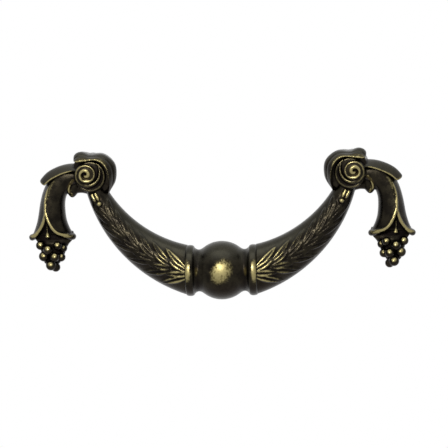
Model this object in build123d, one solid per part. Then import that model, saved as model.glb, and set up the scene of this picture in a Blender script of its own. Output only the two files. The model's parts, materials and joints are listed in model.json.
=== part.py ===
from build123d import *
from build123d.topology import SkipClean
import os
from math import cos, radians, sin, sqrt

# A drop-bail cabinet handle, cast in one piece and carved on its front.
# Origin: midway between the two screw holes, on the drawer front.
# +X is right and +Z is up. The handle stands out towards -Y, and depths are measured from the drawer front.
# The drawing is the front view: a spot on it is (x, z). The right half is modelled and mirrored.

# Fixing
hole_spacing = 96.0
thread_d = 4.0
thread_depth = 9.0
foot_d = 11.0
foot_draft = 0.3

# Middle of the bail: a ball between two necks and two beaded collars, turned about a level axis
bail_drop = 36.0
ball_d = 21.3
neck_d = 15.3
neck_x = 8.9
neck_hollow = 0.8
collar_d = 18.6
collar_x = 11.8
collar_bead = 2.4
collar_flat = 0.7
axis_depth = 19.5
grip_clearance = 13.0
dome_back = 0.62
section_facets = 10

# Arms: a domed section between two arcs, from the collar up to the scroll
arm_width = 18.0
arm_tip_width = 7.8
arm_tip_in = 4.7
arm_tip_drop = 3.2
arm_tip_rise = 1.0
inner_bow = 4.2
outer_bow = 7.7
arm_stations = 8
side_above_axis = 0.5
arm_crest = 26.6
arm_tip_crest = 19.6
arm_tip_side = 15.5
arm_tip_back = 12.5

# Carving on the arms: sprays of leaflets that fan out from the middle line
spray_count = 6
spray_start = 0.01
spray_pitch = 0.14
spray_reach = 0.21
leaflet_fans = ((0.18, 0.95), (0.56, 1.0), (1.0, 0.8))
leaflet_height = 1.0
leaflet_width = 2.3
leaflet_root_fan = 0.22
leaflet_belly = 0.45
smallest_leaflet = 0.35
leaf_border_upper = 0.74
leaf_border_lower = 0.92
stem_length = 3.0
stem_width = 1.1
stem_height = 0.6
stem_spread = 0.28
stem_bead_r = 0.8

# Scroll: a plate, a hood that curls over it, and a volute that stands out in front
plate_r = 6.9
plate_in = 2.7
plate_drop = 0.6
plate_back = 10.5
plate_front = 19.0
hood_side = 18.4
hood_lip = 23.4
hood_back = 11.0
hood_bulge = 0.7
hood_rise_share = 0.28
hood_stations = 10
petal_root = 0.4
petal_shoulder = 0.35
whorl_r = 5.6
whorl_in = 0.7
whorl_drop = 0.9
whorl_front = 20.8
button_r = 3.8
button_out = 0.7
button_front = 23.0
volute_turns = 2.1
volute_start = 200.0
volute_r = 5.1
volute_eye_r = 1.1
volute_ridge = 1.2
volute_rise = 0.9
volute_sunk = 1.2
volute_thinning = 0.35
volute_stations = 22
whorl_share = 0.6
eye_r = 1.0

# Drop: a leaf, a husk that splits into two lips over its mouth, and a bunch of grapes
drop_back = 11.0
relief_back = 12.0
leaf_side = 15.0
leaf_lip = 21.0
leaf_droop = 2.0
leaf_bulge = 0.5
leaf_stations = 5
husk_crest = 20.5
husk_swell = 0.8
husk_stations = 7
mouth_drop = 24.2
mouth_in = 5.0
mouth_out = 22.8
lip_width = 1.4
lip_height = 0.9
lip_end_width = 1.7
lip_start = 0.3
lip_inner_side = -0.62
lip_outer_side = 0.86
lip_beside = 0.09
split_share = 0.62
split_side = 0.42
split_bend = 1.6
pocket_depth = 16.5
curl_out = 5.8
curl_drop = 5.9
curl_r = 2.7
curl_length = 7.0
grape_r = 1.8
grape_pitch = 2.55
grape_rows = (4, 3, 2, 1)
bunch_out = 13.7
bunch_drop = 2.9
bunch_half = 3.5
bunch_depth = 3.4
bunch_turn = 70.0
bunch_lean = 0.3
bud_r = 1.2
bud_length = 4.4
bud_beside = 1.6
berry_sides = 8


# Places on the drawing and in space

def spot(out, up):
    # A spot given from the right screw hole: outwards and upwards
    return Vector(hole_spacing / 2 + out, up)


def curve_through(*offsets):
    # A smooth line on the drawing, through spots given from the right screw hole
    return Spline([tuple(spot(out, up)) for out, up in offsets])


def place(spot_on_drawing, depth):
    return Vector(spot_on_drawing.X, -depth, spot_on_drawing.Y)


def drawn(point):
    return Vector(point.X, point.Z)


def mix(first, second, share):
    return first + (second - first) * share


def cross_plane(first, second, depth):
    # Cuts a band square across: X runs from the first spot to the second, and Y to the front
    along = (second - first).normalized()
    return Plane(
        place((first + second) / 2, depth),
        x_dir=(along.X, 0, along.Y),
        z_dir=(along.Y, 0, -along.X),
    )


# Sections

def faceted(curve):
    # Curved sections get flat facets, so that the carving meets them in straight edges
    return Polyline([curve @ share for share in even_shares(section_facets)])


def dome_section(first, second, back, side, crest):
    # A half ellipse to the front, and behind it a rear that draws in to a flat back
    half = (second - first).length / 2
    front = faceted(EllipticalCenterArc((0, 0), half, crest - side, 0, arc_size=180))
    rear = Polyline((-half, 0), (-half * dome_back, back - side), (half * dome_back, back - side), (half, 0))
    return cross_plane(first, second, side) * make_face(front + rear)


def petal_section(edge, lip, back, side, front, bulge):
    # A curled petal: drawn in behind, widest at its side, and swelling over from there to a thin lip
    half = (lip - edge).length / 2
    crown = mix(side, front, 0.55) - back + bulge
    swell = ThreePointArc((-half, side - back), (-half * petal_shoulder, crown), (half, front - back))
    wall = Polyline((half, front - back), (half, 0), (-half * petal_root, 0), (-half, side - back))
    return cross_plane(edge, lip, back) * make_face(faceted(swell) + wall)


def even_shares(count):
    return [step / count for step in range(count + 1)]


def loft_between(first_edge, second_edge, shares, make_section):
    # Lofts the sections that span two drawn curves at the given shares of their length
    sections = [make_section(first_edge @ share, second_edge @ share, share) for share in shares]
    return loft(sections, ruled=True)


def skin(first_edge, second_edge, levels, share, side_share, lift=0.0):
    # A point on a dome and the way it faces; side_share runs from -1 at the first edge to 1 at the second
    first, second = first_edge @ share, second_edge @ share
    back, side, crest = levels(share)
    plane = cross_plane(first, second, side)
    half = (second - first).length / 2
    rise = crest - side
    height = rise * sqrt(max(0.0, 1 - side_share ** 2))
    out = Vector(side_share / half, height / rise ** 2).normalized()
    point = plane.from_local_coords(Vector(side_share * half, height) + out * lift)
    return point, plane.x_dir * out.X + plane.y_dir * out.Y


def roof(middle, along, out, width, height):
    # A three-sided outline across a ridge: it is sunk as deep as it stands out, so its foot is twice as wide
    across = along.cross(out).normalized() * width
    return Wire.make_polygon([
        middle - across - out * height,
        middle + across - out * height,
        middle + out * height,
    ])


def spindle(root, tip, middle, out, width, height):
    # A ridge that runs out to a point at both ends
    ring = roof(middle, (tip - root).normalized(), out, width, height)
    return Solid.make_loft([Vertex(*root), ring, Vertex(*tip)], ruled=True)


def berry(centre, radius, length=0.0):
    # A faceted berry, drawn out to a point at the top when it has a length
    rings = [Vertex(0, 0, -radius)]
    for turn in (-45, 0) if length else (-45, 0, 45):
        corner = Vector(radius * cos(radians(turn)), 0, radius * sin(radians(turn)))
        rings.append(Wire.make_polygon([
            corner.rotate(Axis.Z, 360 / berry_sides * (side + 0.5)) for side in range(berry_sides)
        ]))
    rings.append(Vertex(0, 0, length - radius if length else radius))
    return Pos(*centre) * Solid.make_loft(rings, ruled=True)


# Foot

def foot():
    top = foot_d / 2 - foot_draft
    post = Cone(foot_d / 2, top, plate_back + 1, align=(Align.CENTER, Align.CENTER, Align.MIN))
    return Plane(place(spot(0, 0), 0), z_dir=(0, -1, 0)) * post


def screw_hole():
    drill = Cylinder(thread_d / 2, thread_depth, align=(Align.CENTER, Align.CENTER, Align.MIN))
    return Plane(place(spot(0, 0), 0), z_dir=(0, -1, 0)) * drill


# Middle

def middle():
    # Half of the turned middle: the ball, a hollowed neck and a collar with softened corners
    neck = neck_d / 2
    ball = ball_d / 2
    bead = collar_bead / 2
    collar = collar_d / 2
    shoulder = collar - bead * 0.9
    inside = ball * 0.5
    outline = Polyline(
        (inside, 0),
        (collar_x + bead, 0),
        (collar_x + bead, shoulder),
        (collar_x + collar_flat / 2, collar),
        (collar_x - collar_flat / 2, collar),
        (collar_x - bead, shoulder),
        (neck_x + neck_hollow, neck + neck_hollow * 0.3),
        (neck_x, neck),
        (inside, neck),
        close=True,
    )
    turned = Plane.XZ * revolve(make_face(outline), Axis.X)
    body = Pos(0, -axis_depth, 0) * (Sphere(ball) + turned)
    left = Box(2 * ball_d, 8 * ball_d, 8 * ball_d, align=(Align.MAX, Align.CENTER, Align.CENTER))
    behind = Box(8 * collar_x, 2 * grip_clearance, 8 * ball_d)
    return Pos(0, 0, -bail_drop) * (body - left - behind)


# Arms

arm_start = collar_x + collar_bead / 4
inner_edge = SagittaArc(
    (arm_start, -bail_drop + arm_width / 2),
    tuple(spot(-arm_tip_in, -arm_tip_drop)),
    -inner_bow,
)
outer_edge = SagittaArc(
    (arm_start, -bail_drop - arm_width / 2),
    tuple(spot(arm_tip_width - arm_tip_in, arm_tip_rise - arm_tip_drop)),
    -outer_bow,
)


def arm_levels(share):
    back = mix(grip_clearance, arm_tip_back, share)
    side = mix(axis_depth - side_above_axis, arm_tip_side, share)
    crest = mix(arm_crest, arm_tip_crest, share)
    return back, side, crest


def arm():
    def section(inner, outer, share):
        return dome_section(outer, inner, *arm_levels(share))

    return loft_between(inner_edge, outer_edge, even_shares(arm_stations), section)


def arm_skin(share, side_share, lift=0.0):
    return skin(outer_edge, inner_edge, arm_levels, share, side_share, lift)


def leaflet(root_share, tip_share, root_side, tip_side):
    # Leaflets keep their size in step with the arm's width
    scale = mix(smallest_leaflet, 1, (inner_edge @ root_share - outer_edge @ root_share).length / arm_width)
    height = leaflet_height * scale
    root, _ = arm_skin(root_share, root_side, -height * 0.1)
    tip, _ = arm_skin(tip_share, tip_side, -height * 0.4)
    belly, out = arm_skin(mix(root_share, tip_share, leaflet_belly), mix(root_side, tip_side, 0.5))
    return spindle(root, tip, belly, out, leaflet_width * scale, height)


def leaflets():
    # Each spray has as many leaflets above its middle line as below, and they open towards the scroll
    made = []
    for number in range(spray_count):
        root = spray_start + spray_pitch * number
        for border in (leaf_border_upper, -leaf_border_lower):
            root_border = leaflet_root_fan if border > 0 else -leaflet_root_fan
            for fan, reach in leaflet_fans:
                tip = root + spray_reach * reach
                made.append(leaflet(root, tip, fan * root_border, fan * border))
    return made


def arm_stem():
    # Two short stems that end in a bead, between the last spray and the scroll
    bead_share = spray_start + spray_pitch * spray_count
    bead, _ = arm_skin(bead_share, 0)
    reach = stem_length / (inner_edge.length + outer_edge.length) * 2
    made = [berry(bead, stem_bead_r)]
    for side_share in (-stem_spread, stem_spread):
        root, _ = arm_skin(bead_share, side_share * 0.5)
        tip, _ = arm_skin(bead_share + 2 * reach, side_share * 1.4)
        belly, out = arm_skin(bead_share + reach, side_share)
        made.append(spindle(root, tip, belly, out, stem_width, stem_height))
    return made


# Scroll

hood_edge_curve = curve_through(
    (-6.7, -9.2), (-9.7, -4.2), (-10.3, 0.2), (-8.6, 4.4), (-5.0, 6.6), (-0.8, 7.0), (2.6, 7.8), (5.2, 5.4)
)
hood_lip_curve = curve_through(
    (-5.9, -8.6), (-7.5, -4.0), (-6.9, 0.3), (-5.3, 4.5), (-1.4, 6.0), (2.0, 5.4), (4.3, 4.5)
)


def hood():
    # The lip rises out of the arm and reaches its full height a quarter of the way round
    def section(edge, lip, share):
        front = mix(arm_tip_crest, hood_lip, min(1, share / hood_rise_share))
        return petal_section(edge, lip, hood_back, hood_side, front, hood_bulge)

    return loft_between(hood_edge_curve, hood_lip_curve, even_shares(hood_stations), section)


def stud(centre, radius, back, front, draft=0.5):
    body = Cone(radius, radius - draft, front - back, align=(Align.CENTER, Align.CENTER, Align.MIN))
    return Plane(place(centre, back), z_dir=(0, -1, 0)) * body


def volute_ridge_section(share):
    # One station of the spiral: it closes in on the eye and climbs from the whorl to the button as it goes
    climb = min(1, share / whorl_share)
    centre = mix(spot(-whorl_in, -whorl_drop), spot(button_out, 0), climb)
    angle = radians(volute_start + 360 * volute_turns * share)
    radius = mix(volute_r, volute_eye_r, share)
    out = Vector(cos(angle), sin(angle))
    floor = mix(whorl_front, button_front, climb)
    half = volute_ridge / 2 * (1 - volute_thinning * share)
    plane = cross_plane(centre + out * (radius - half), centre + out * (radius + half), floor)
    foot_line = Polyline((-half, 0), (-half, -volute_sunk), (half, -volute_sunk), (half, 0))
    return plane * make_face(foot_line + Polyline((half, 0), (0, volute_rise), (-half, 0)))


def volute():
    ridge = loft([volute_ridge_section(share) for share in even_shares(volute_stations)], ruled=True)
    eye = berry(place(spot(button_out, 0), button_front), eye_r)
    return [
        stud(spot(-whorl_in, -whorl_drop), whorl_r, plate_front - 1, whorl_front),
        stud(spot(button_out, 0), button_r, whorl_front - 1, button_front),
        ridge,
        eye,
    ]


# Drop

leaf_edge_curve = curve_through((2.5, 3.2), (8.6, 3.1), (13.8, 1.2), (18.2, -3.1))
leaf_lip_curve = curve_through((2.5, 1.2), (8.4, 0.6), (12.8, -1.3), (16.1, -4.4))


def upper_leaf():
    def section(edge, lip, share):
        return petal_section(edge, lip, relief_back, leaf_side, leaf_lip - leaf_droop * share, leaf_bulge)

    return loft_between(leaf_edge_curve, leaf_lip_curve, even_shares(leaf_stations), section)


husk_inner = curve_through((3, -4.4), (7.4, -7), (9.1, -12), (8.6, -18), (mouth_in, -mouth_drop))
husk_outer = curve_through((4, 1.2), (13.8, -0.6), (17.6, -8), (18.8, -17), (mouth_out, -mouth_drop))


def husk_levels(share):
    return drop_back, leaf_side, husk_crest + husk_swell * share


def husk():
    def section(inner, outer, share):
        return dome_section(inner, outer, *husk_levels(share))

    return loft_between(husk_inner, husk_outer, even_shares(husk_stations), section)


def husk_skin(share, side_share, lift=0.0):
    return skin(husk_inner, husk_outer, husk_levels, share, side_share, lift)


def lip_side(share, mouth_side):
    # The two lips run together down to the split, then curve apart to the corners of the mouth
    apart = max(0.0, (share - split_share) / (1 - split_share))
    return split_side + (mouth_side - split_side) * apart ** split_bend


def husk_lip(mouth_side, beside):
    # The lip widens to the corner that it flares out to
    stations = [mix(lip_start, 1, share) for share in even_shares(6)]
    points = [husk_skin(share, lip_side(share, mouth_side) + beside) for share in stations]
    rings = []
    for number, (point, out) in enumerate(points):
        before, _ = points[max(0, number - 1)]
        after, _ = points[min(len(points) - 1, number + 1)]
        width = mix(lip_width, lip_end_width, number / (len(points) - 1))
        rings.append(roof(point, (after - before).normalized(), out, width, lip_height))
    return Solid.make_loft(rings, ruled=True)


def husk_pocket():
    # The hollow between the lips, cut from the front down to a level floor
    stations = [mix(split_share, 1, share) for share in even_shares(3)]
    left = [drawn(husk_skin(share, lip_side(share, lip_inner_side))[0]) for share in stations]
    right = [drawn(husk_skin(share, lip_side(share, lip_outer_side))[0]) for share in stations]
    below = Vector(0, -4)
    outline = [
        Spline(left),
        Polyline(left[-1], left[-1] + below, right[-1] + below, right[-1]),
        Spline(right[::-1]),
    ]
    face = make_face(outline)
    return Plane((0, -pocket_depth, 0), x_dir=(1, 0, 0), z_dir=(0, -1, 0)) * extrude(face, 20)


def curl_leaf():
    # A small leaf that rolls over under the scroll, between the arm and the husk
    return berry(place(spot(curl_out, -curl_drop), leaf_side), curl_r, curl_length)


def bunch_core():
    # Carries the grapes, and narrows from the mouth down to the last one
    top = -mouth_drop + 0.6
    bottom = -mouth_drop - bunch_drop - grape_pitch * (len(grape_rows) - 1)
    crest = leaf_side + 0.6 * bunch_depth
    widths = ((top, mouth_in + 0.9, mouth_out - 0.9), (top - 3.0, bunch_out - 5.2, bunch_out + 5.2),
              (bottom, bunch_out - 1.2, bunch_out + 1.2))
    sections = [
        dome_section(spot(first, height), spot(second, height), relief_back, leaf_side - 1, crest)
        for height, first, second in widths
    ]
    return loft(sections, ruled=True)


def grapes():
    made = []
    for row, count in enumerate(grape_rows):
        half = bunch_half * (1 - row / len(grape_rows))
        height = -mouth_drop - bunch_drop - grape_pitch * row
        for number in range(count):
            turn = 0.0 if count == 1 else 2 * number / (count - 1) - 1
            depth = leaf_side + (bunch_depth - bunch_lean * row) * cos(radians(bunch_turn * turn))
            made.append(berry(place(spot(bunch_out + half * turn, height), depth), grape_r))
    return made


def bud():
    foot_spot = spot(bunch_out + bud_beside, -mouth_drop + bud_r)
    return berry(place(foot_spot, pocket_depth + 1), bud_r, bud_length)


def scroll():
    plate = stud(spot(-plate_in, -plate_drop), plate_r, plate_back, plate_front, 0.2)
    return [foot(), plate, hood(), *volute()]


def drop():
    lips = [husk_lip(lip_inner_side, -lip_beside), husk_lip(lip_outer_side, lip_beside)]
    return [upper_leaf(), husk() - husk_pocket(), *lips, curl_leaf(), bunch_core(), *grapes(), bud()]


os.makedirs("parts", exist_ok=True)

# One casting: the pieces of a half are joined, then the half to its mirror image
with SkipClean():
    right_half = middle() + [arm() + [*leaflets(), *arm_stem()], *scroll(), *drop()]
    right_half -= screw_hole()
    handle_casting = right_half + mirror(right_half, about=Plane.YZ)
export_step(handle_casting, "parts/handle_casting.step")
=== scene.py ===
import json
import math

import bpy
import numpy as np
from mathutils import Matrix, Vector


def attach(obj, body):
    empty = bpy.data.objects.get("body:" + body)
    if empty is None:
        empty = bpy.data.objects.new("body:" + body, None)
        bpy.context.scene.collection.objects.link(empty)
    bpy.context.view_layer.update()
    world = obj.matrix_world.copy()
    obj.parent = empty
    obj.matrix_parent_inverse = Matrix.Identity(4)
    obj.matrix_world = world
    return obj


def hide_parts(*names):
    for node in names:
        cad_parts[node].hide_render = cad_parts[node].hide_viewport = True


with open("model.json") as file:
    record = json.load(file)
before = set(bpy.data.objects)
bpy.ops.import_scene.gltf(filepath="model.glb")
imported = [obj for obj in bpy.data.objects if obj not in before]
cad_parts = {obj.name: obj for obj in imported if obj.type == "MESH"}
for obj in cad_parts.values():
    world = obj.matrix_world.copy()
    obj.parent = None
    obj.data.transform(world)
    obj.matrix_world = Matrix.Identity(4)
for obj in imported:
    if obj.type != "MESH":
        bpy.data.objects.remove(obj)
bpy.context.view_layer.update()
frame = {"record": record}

# A cast cabinet handle in antique bronze. Shapes are drawn in millimetres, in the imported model's frame:
# X to the right, Z up, and depth is the distance out from the drawer front, so Y is minus depth.
# The left side and foot are the right ones mirrored.
mm = 0.001
mounts = {mount["name"]: mount for mount in frame["record"]["mounts"]}
holeX = mounts["fixing_holes"]["dims"]["spacing_x_mm"] / 2
threadRadius = mounts["right_screw_thread"]["dims"]["r_mm"]
threadLength = mounts["right_screw_thread"]["dims"]["length_mm"]
print("frame loaded, screw holes", 2 * holeX, "mm apart")


def spot(out, up):
    # a place on the front view, given from the right screw hole
    return holeX + out, up


def spots(*pairs):
    return [spot(*pair) for pair in pairs]


# Lines on the front view

def throughPoints(points, shares):
    # a natural cubic through given points, at shares of their chord length
    p = np.array(points, float)
    gap = np.linalg.norm(np.diff(p, axis=0), axis=1)
    at = np.concatenate([[0], np.cumsum(gap)])
    count = len(p)
    system = np.eye(count)
    wanted = np.zeros_like(p)
    for i in range(1, count - 1):
        system[i, i - 1:i + 2] = gap[i - 1], 2 * (gap[i - 1] + gap[i]), gap[i]
        wanted[i] = 6 * ((p[i + 1] - p[i]) / gap[i] - (p[i] - p[i - 1]) / gap[i - 1])
    bend = np.linalg.solve(system, wanted)
    s = np.asarray(shares, float) * at[-1]
    i = np.clip(np.searchsorted(at, s, side="right") - 1, 0, count - 2)
    h = gap[i][:, None]
    a = (at[i + 1] - s)[:, None] / h
    b = 1 - a
    return a * p[i] + b * p[i + 1] + ((a ** 3 - a) * bend[i] + (b ** 3 - b) * bend[i + 1]) * h ** 2 / 6


def arcPath(start, end, bow, shares):
    # an arc that bows to the right of its chord
    start, end = np.array(start, float), np.array(end, float)
    length = np.linalg.norm(end - start)
    along = (end - start) / length
    left = np.array([-along[1], along[0]])
    radius = (length ** 2 / 4 + bow ** 2) / (2 * bow)
    centre = (start + end) / 2 + left * (radius - bow)
    turn = (2 * np.asarray(shares, float) - 1) * math.asin(length / 2 / radius)
    return centre + radius * (np.outer(np.sin(turn), along) - np.outer(np.cos(turn), left))


def placesOnBand(low, high, places):
    # where front-view places lie on the band between two lines: share along it, and side from -1 to 1
    across = high - low
    width = np.linalg.norm(across, axis=1)
    found = []
    for place in places:
        reach = np.asarray(place) - low
        off = np.abs(across[:, 0] * reach[:, 1] - across[:, 1] * reach[:, 0]) / width
        part = (reach * across).sum(axis=1) / width ** 2
        outside = np.abs(part - 0.5) > 0.9
        best = int(np.argmin(np.where(outside, np.inf, off)))
        found.append((best / (len(low) - 1), 2 * part[best] - 1))
    return np.array(found).T


# fine steps along a band, to find places on it
bandShares = np.linspace(0, 1, 1601)


def smoothStep(value, low, high):
    t = np.clip((value - low) / (high - low), 0, 1)
    return t * t * (3 - 2 * t)


def eased(start, end, part):
    return start + (end - start) * part


def bell(value):
    return np.exp(-value ** 2)


# Closed shells: each is a list of points and a list of faces

def skinRings(rings):
    # a tube through rings of the same number of points, closed by a fan at both ends
    rings = np.asarray(rings, float)
    stations, around, _ = rings.shape
    points = [tuple(p) for p in rings.reshape(-1, 3)]
    faces = []
    for i in range(stations - 1):
        for j in range(around):
            k = (j + 1) % around
            faces.append((i * around + j, i * around + k, (i + 1) * around + k, (i + 1) * around + j))
    for ring, flipped in ((0, True), (stations - 1, False)):
        hub = len(points)
        points.append(tuple(rings[ring].mean(axis=0)))
        for j in range(around):
            k = (j + 1) % around
            pair = (k, j) if flipped else (j, k)
            faces.append((ring * around + pair[0], ring * around + pair[1], hub))
    return points, faces


def bandRings(edge, lip, section):
    # edge and lip are lines on the front view; section gives rows of across and depth, in mm
    rings = []
    for number, (first, second) in enumerate(zip(edge, lip)):
        width = np.linalg.norm(second - first)
        along = (second - first) / width
        rows = np.array(section(number / (len(edge) - 1), width), float)
        flat = first + rows[:, :1] * along
        rings.append(np.column_stack([flat[:, 0], -rows[:, 1], flat[:, 1]]))
    return rings


def turned(profile, centre, steps=96):
    # profile rows are radius and depth, round an axis that stands out from the drawer front
    points, rows = [], []
    for radius, depth in profile:
        start = len(points)
        if radius == 0:
            points.append((centre[0], -depth, centre[1]))
            rows.append([start] * steps)
            continue
        for step in range(steps):
            angle = 2 * math.pi * step / steps
            x, z = centre[0] + radius * math.cos(angle), centre[1] + radius * math.sin(angle)
            points.append((x, -depth, z))
        rows.append(list(range(start, start + steps)))
    faces = []
    for first, second in zip(rows, rows[1:]):
        for i in range(steps):
            k = (i + 1) % steps
            faces.append(tuple(dict.fromkeys((first[i], first[k], second[k], second[i]))))
    return points, faces


def joined(shells):
    points, faces = [], []
    for shellPoints, shellFaces in shells:
        start = len(points)
        points.extend(shellPoints)
        faces.extend(tuple(start + corner for corner in face) for face in shellFaces)
    return points, faces


def linkedObject(name, data):
    made = bpy.data.objects.new(name, data)
    bpy.context.scene.collection.objects.link(made)
    return made


def objectFrom(name, points, faces):
    mesh = bpy.data.meshes.new(name)
    mesh.from_pydata([tuple(c * mm for c in p) for p in points], [], faces)
    mesh.update()
    return linkedObject(name, mesh)


def plainMesh(source, name):
    # the evaluated result as a mesh of its own; the source object goes
    evaluated = source.evaluated_get(bpy.context.evaluated_depsgraph_get())
    mesh = bpy.data.meshes.new_from_object(evaluated)
    mesh.name = name
    old = source.data
    bpy.data.objects.remove(source)
    if old.users == 0:
        bpy.data.meshes.remove(old)
    return mesh


def shellOf(mesh):
    points = np.empty(len(mesh.vertices) * 3)
    mesh.vertices.foreach_get("co", points)
    faces = [tuple(p.vertices) for p in mesh.polygons]
    made = [tuple(p) for p in points.reshape(-1, 3) / mm], faces
    bpy.data.meshes.remove(mesh)
    return made


# Geometry trees for what repeats or follows a path

class Tree:
    # builds a node tree: one call adds a node, its settings and the values or links of its sockets
    def __init__(self, tree):
        self.tree = tree

    def add(self, kind, settings=None, **values):
        node = self.tree.nodes.new(kind)
        for key, value in (settings or {}).items():
            setattr(node, key, value)
        for key, value in values.items():
            # at0, at1 and so on go by a socket's number, other keys by its name
            socket = node.inputs[int(key[2:]) if key.startswith("at") else key.replace("_", " ")]
            if isinstance(value, bpy.types.NodeSocket):
                self.tree.links.new(value, socket)
            else:
                socket.default_value = value
        return node


def inputsOf(tree, named):
    tree.interface.new_socket("Geometry", in_out="INPUT", socket_type="NodeSocketGeometry")
    tree.interface.new_socket("Geometry", in_out="OUTPUT", socket_type="NodeSocketGeometry")
    found = {}
    for name, (kind, value) in named.items():
        socket = tree.interface.new_socket(name, in_out="INPUT", socket_type=kind)
        if value is not None:
            socket.default_value = value
        found[name] = socket.identifier
    return found


def endTree(make, given, grown):
    whole = make.add("GeometryNodeRealizeInstances", None, Geometry=grown.outputs[0])
    metal = make.add("GeometryNodeSetMaterial", None, Geometry=whole.outputs[0], Material=given["Metal"])
    make.add("NodeGroupOutput", None, Geometry=metal.outputs[0])


def ridgeTree():
    # sweeps a round ridge along each line; its radius is the line's thickness, in metres
    tree = bpy.data.node_groups.new("ridgeAlongLine", "GeometryNodeTree")
    sockets = inputsOf(tree, {
        "Sides": ("NodeSocketInt", 12),
        "Fullness": ("NodeSocketFloat", 1.0),
        "Metal": ("NodeSocketMaterial", None),
    })
    make = Tree(tree)
    given = make.add("NodeGroupInput").outputs
    thickness = make.add("GeometryNodeInputNamedAttribute", {"data_type": "FLOAT"}, Name="thickness")
    scaled = make.add(
        "ShaderNodeMath", {"operation": "MULTIPLY"},
        at0=thickness.outputs["Attribute"], at1=given["Fullness"],
    )
    line = make.add("GeometryNodeMeshToCurve", None, Mesh=given["Geometry"])
    ring = make.add(
        "GeometryNodeCurvePrimitiveCircle", {"mode": "RADIUS"}, Resolution=given["Sides"], Radius=1.0
    )
    swept = make.add(
        "GeometryNodeCurveToMesh", None,
        Curve=line.outputs[0], Profile_Curve=ring.outputs[0], Scale=scaled.outputs[0], Fill_Caps=True,
    )
    endTree(make, given, swept)
    return tree, sockets


def berryTree():
    # sets a ball on each point, a little uneven in size, with the point's size as its radius in metres
    tree = bpy.data.node_groups.new("berriesOnPoints", "GeometryNodeTree")
    sockets = inputsOf(tree, {
        "Evenness": ("NodeSocketFloat", 0.94),
        "Detail": ("NodeSocketInt", 4),
        "Seed": ("NodeSocketInt", 4),
        "Metal": ("NodeSocketMaterial", None),
    })
    make = Tree(tree)
    given = make.add("NodeGroupInput").outputs
    size = make.add("GeometryNodeInputNamedAttribute", {"data_type": "FLOAT"}, Name="size")
    ball = make.add("GeometryNodeMeshIcoSphere", None, Radius=1.0, Subdivisions=given["Detail"])
    uneven = make.add(
        "FunctionNodeRandomValue", {"data_type": "FLOAT"},
        at2=given["Evenness"], at3=1.0, Seed=given["Seed"],
    )
    grown = make.add(
        "ShaderNodeMath", {"operation": "MULTIPLY"},
        at0=size.outputs["Attribute"], at1=uneven.outputs[1],
    )
    placed = make.add(
        "GeometryNodeInstanceOnPoints", None,
        Points=given["Geometry"], Instance=ball.outputs[0], Scale=grown.outputs[0],
    )
    endTree(make, given, placed)
    return tree, sockets


def grownBy(tree, sockets, source, values, metal):
    # runs a tree on a guide object and returns the grown shell
    modifier = source.modifiers.new("grow", "NODES")
    modifier.node_group = tree
    for name, value in values.items():
        modifier[sockets[name]] = value
    modifier[sockets["Metal"]] = metal
    return shellOf(plainMesh(source, source.name + "Grown"))


def guideObject(name, rows, edges, attribute):
    # rows are x, y, z and radius in mm; the radius is kept in metres, under the attribute's name
    mesh = bpy.data.meshes.new(name)
    mesh.from_pydata([tuple(c * mm for c in row[:3]) for row in rows], edges, [])
    radii = np.array([row[3] * mm for row in rows], np.float32)
    mesh.attributes.new(attribute, "FLOAT", "POINT").data.foreach_set("value", radii)
    return linkedObject(name, mesh)


def guideLines(name, lines):
    rows, edges = [], []
    for line in lines:
        edges.extend((len(rows) + i, len(rows) + i + 1) for i in range(len(line) - 1))
        rows.extend(line)
    return guideObject(name, rows, edges, "thickness")


def guidePoints(name, rows):
    return guideObject(name, rows, [], "size")


# Arms

arm = {
    "lowerEdge": ((12.4, -45.0), spot(2.15, -1.9), 8.1),
    "upperEdge": ((12.4, -26.7), spot(-4.7, -2.7), 4.5),
    "back": (13.0, 12.5),
    "side": (19.0, 15.5),
    "crest": (26.6, 19.8),
    "stations": 170,
    "around": 56,
}


def armLine(which, shares):
    start, end, bow = arm[which]
    return arcPath(start, end, bow, shares)


def armLevels(share):
    # depths at the middle end and at the scroll end, eased along the arm
    return [eased(*arm[name], share) for name in ("back", "side", "crest")]


def domeRows(levels, around, width=1.0):
    # across runs from 0 to the width over the front and back again behind, which is a little fuller
    back, side, crest = levels
    angles = np.linspace(0, math.pi, around, endpoint=False)
    front = np.column_stack([(1 - np.cos(angles)) / 2, side + (crest - side) * np.sin(angles)])
    rear = np.column_stack([(1 + np.cos(angles)) / 2, side - (side - back) * np.sin(angles) ** 0.8])
    return np.vstack([front, rear]) * (width, 1)


def armShell():
    shares = np.linspace(0, 1, arm["stations"])

    def section(share, width):
        return domeRows(armLevels(share), arm["around"], width)

    return skinRings(bandRings(armLine("lowerEdge", shares), armLine("upperEdge", shares), section))


def onArm(share, side, lift=0.0):
    # a point on the arm's front: side runs from -1 at the lower edge to 1 at the upper
    share = np.atleast_1d(np.asarray(share, float))
    side = np.broadcast_to(np.asarray(side, float), share.shape)
    low, high = armLine("lowerEdge", share), armLine("upperEdge", share)
    middle, half = (low + high) / 2, (high - low) / 2
    _, level, crest = [np.asarray(v) for v in armLevels(share)]
    rise = crest - level
    height = rise * np.sqrt(np.clip(1 - side ** 2, 0, 1))
    flat = middle + half * side[:, None]
    reach = np.linalg.norm(half, axis=1)
    outAcross, outFront = side / reach, height / rise ** 2
    length = np.hypot(outAcross, outFront)
    flat = flat + (half / reach[:, None]) * (outAcross / length * lift)[:, None]
    return np.column_stack([flat[:, 0], -(level + height + outFront / length * lift), flat[:, 1]])


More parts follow.
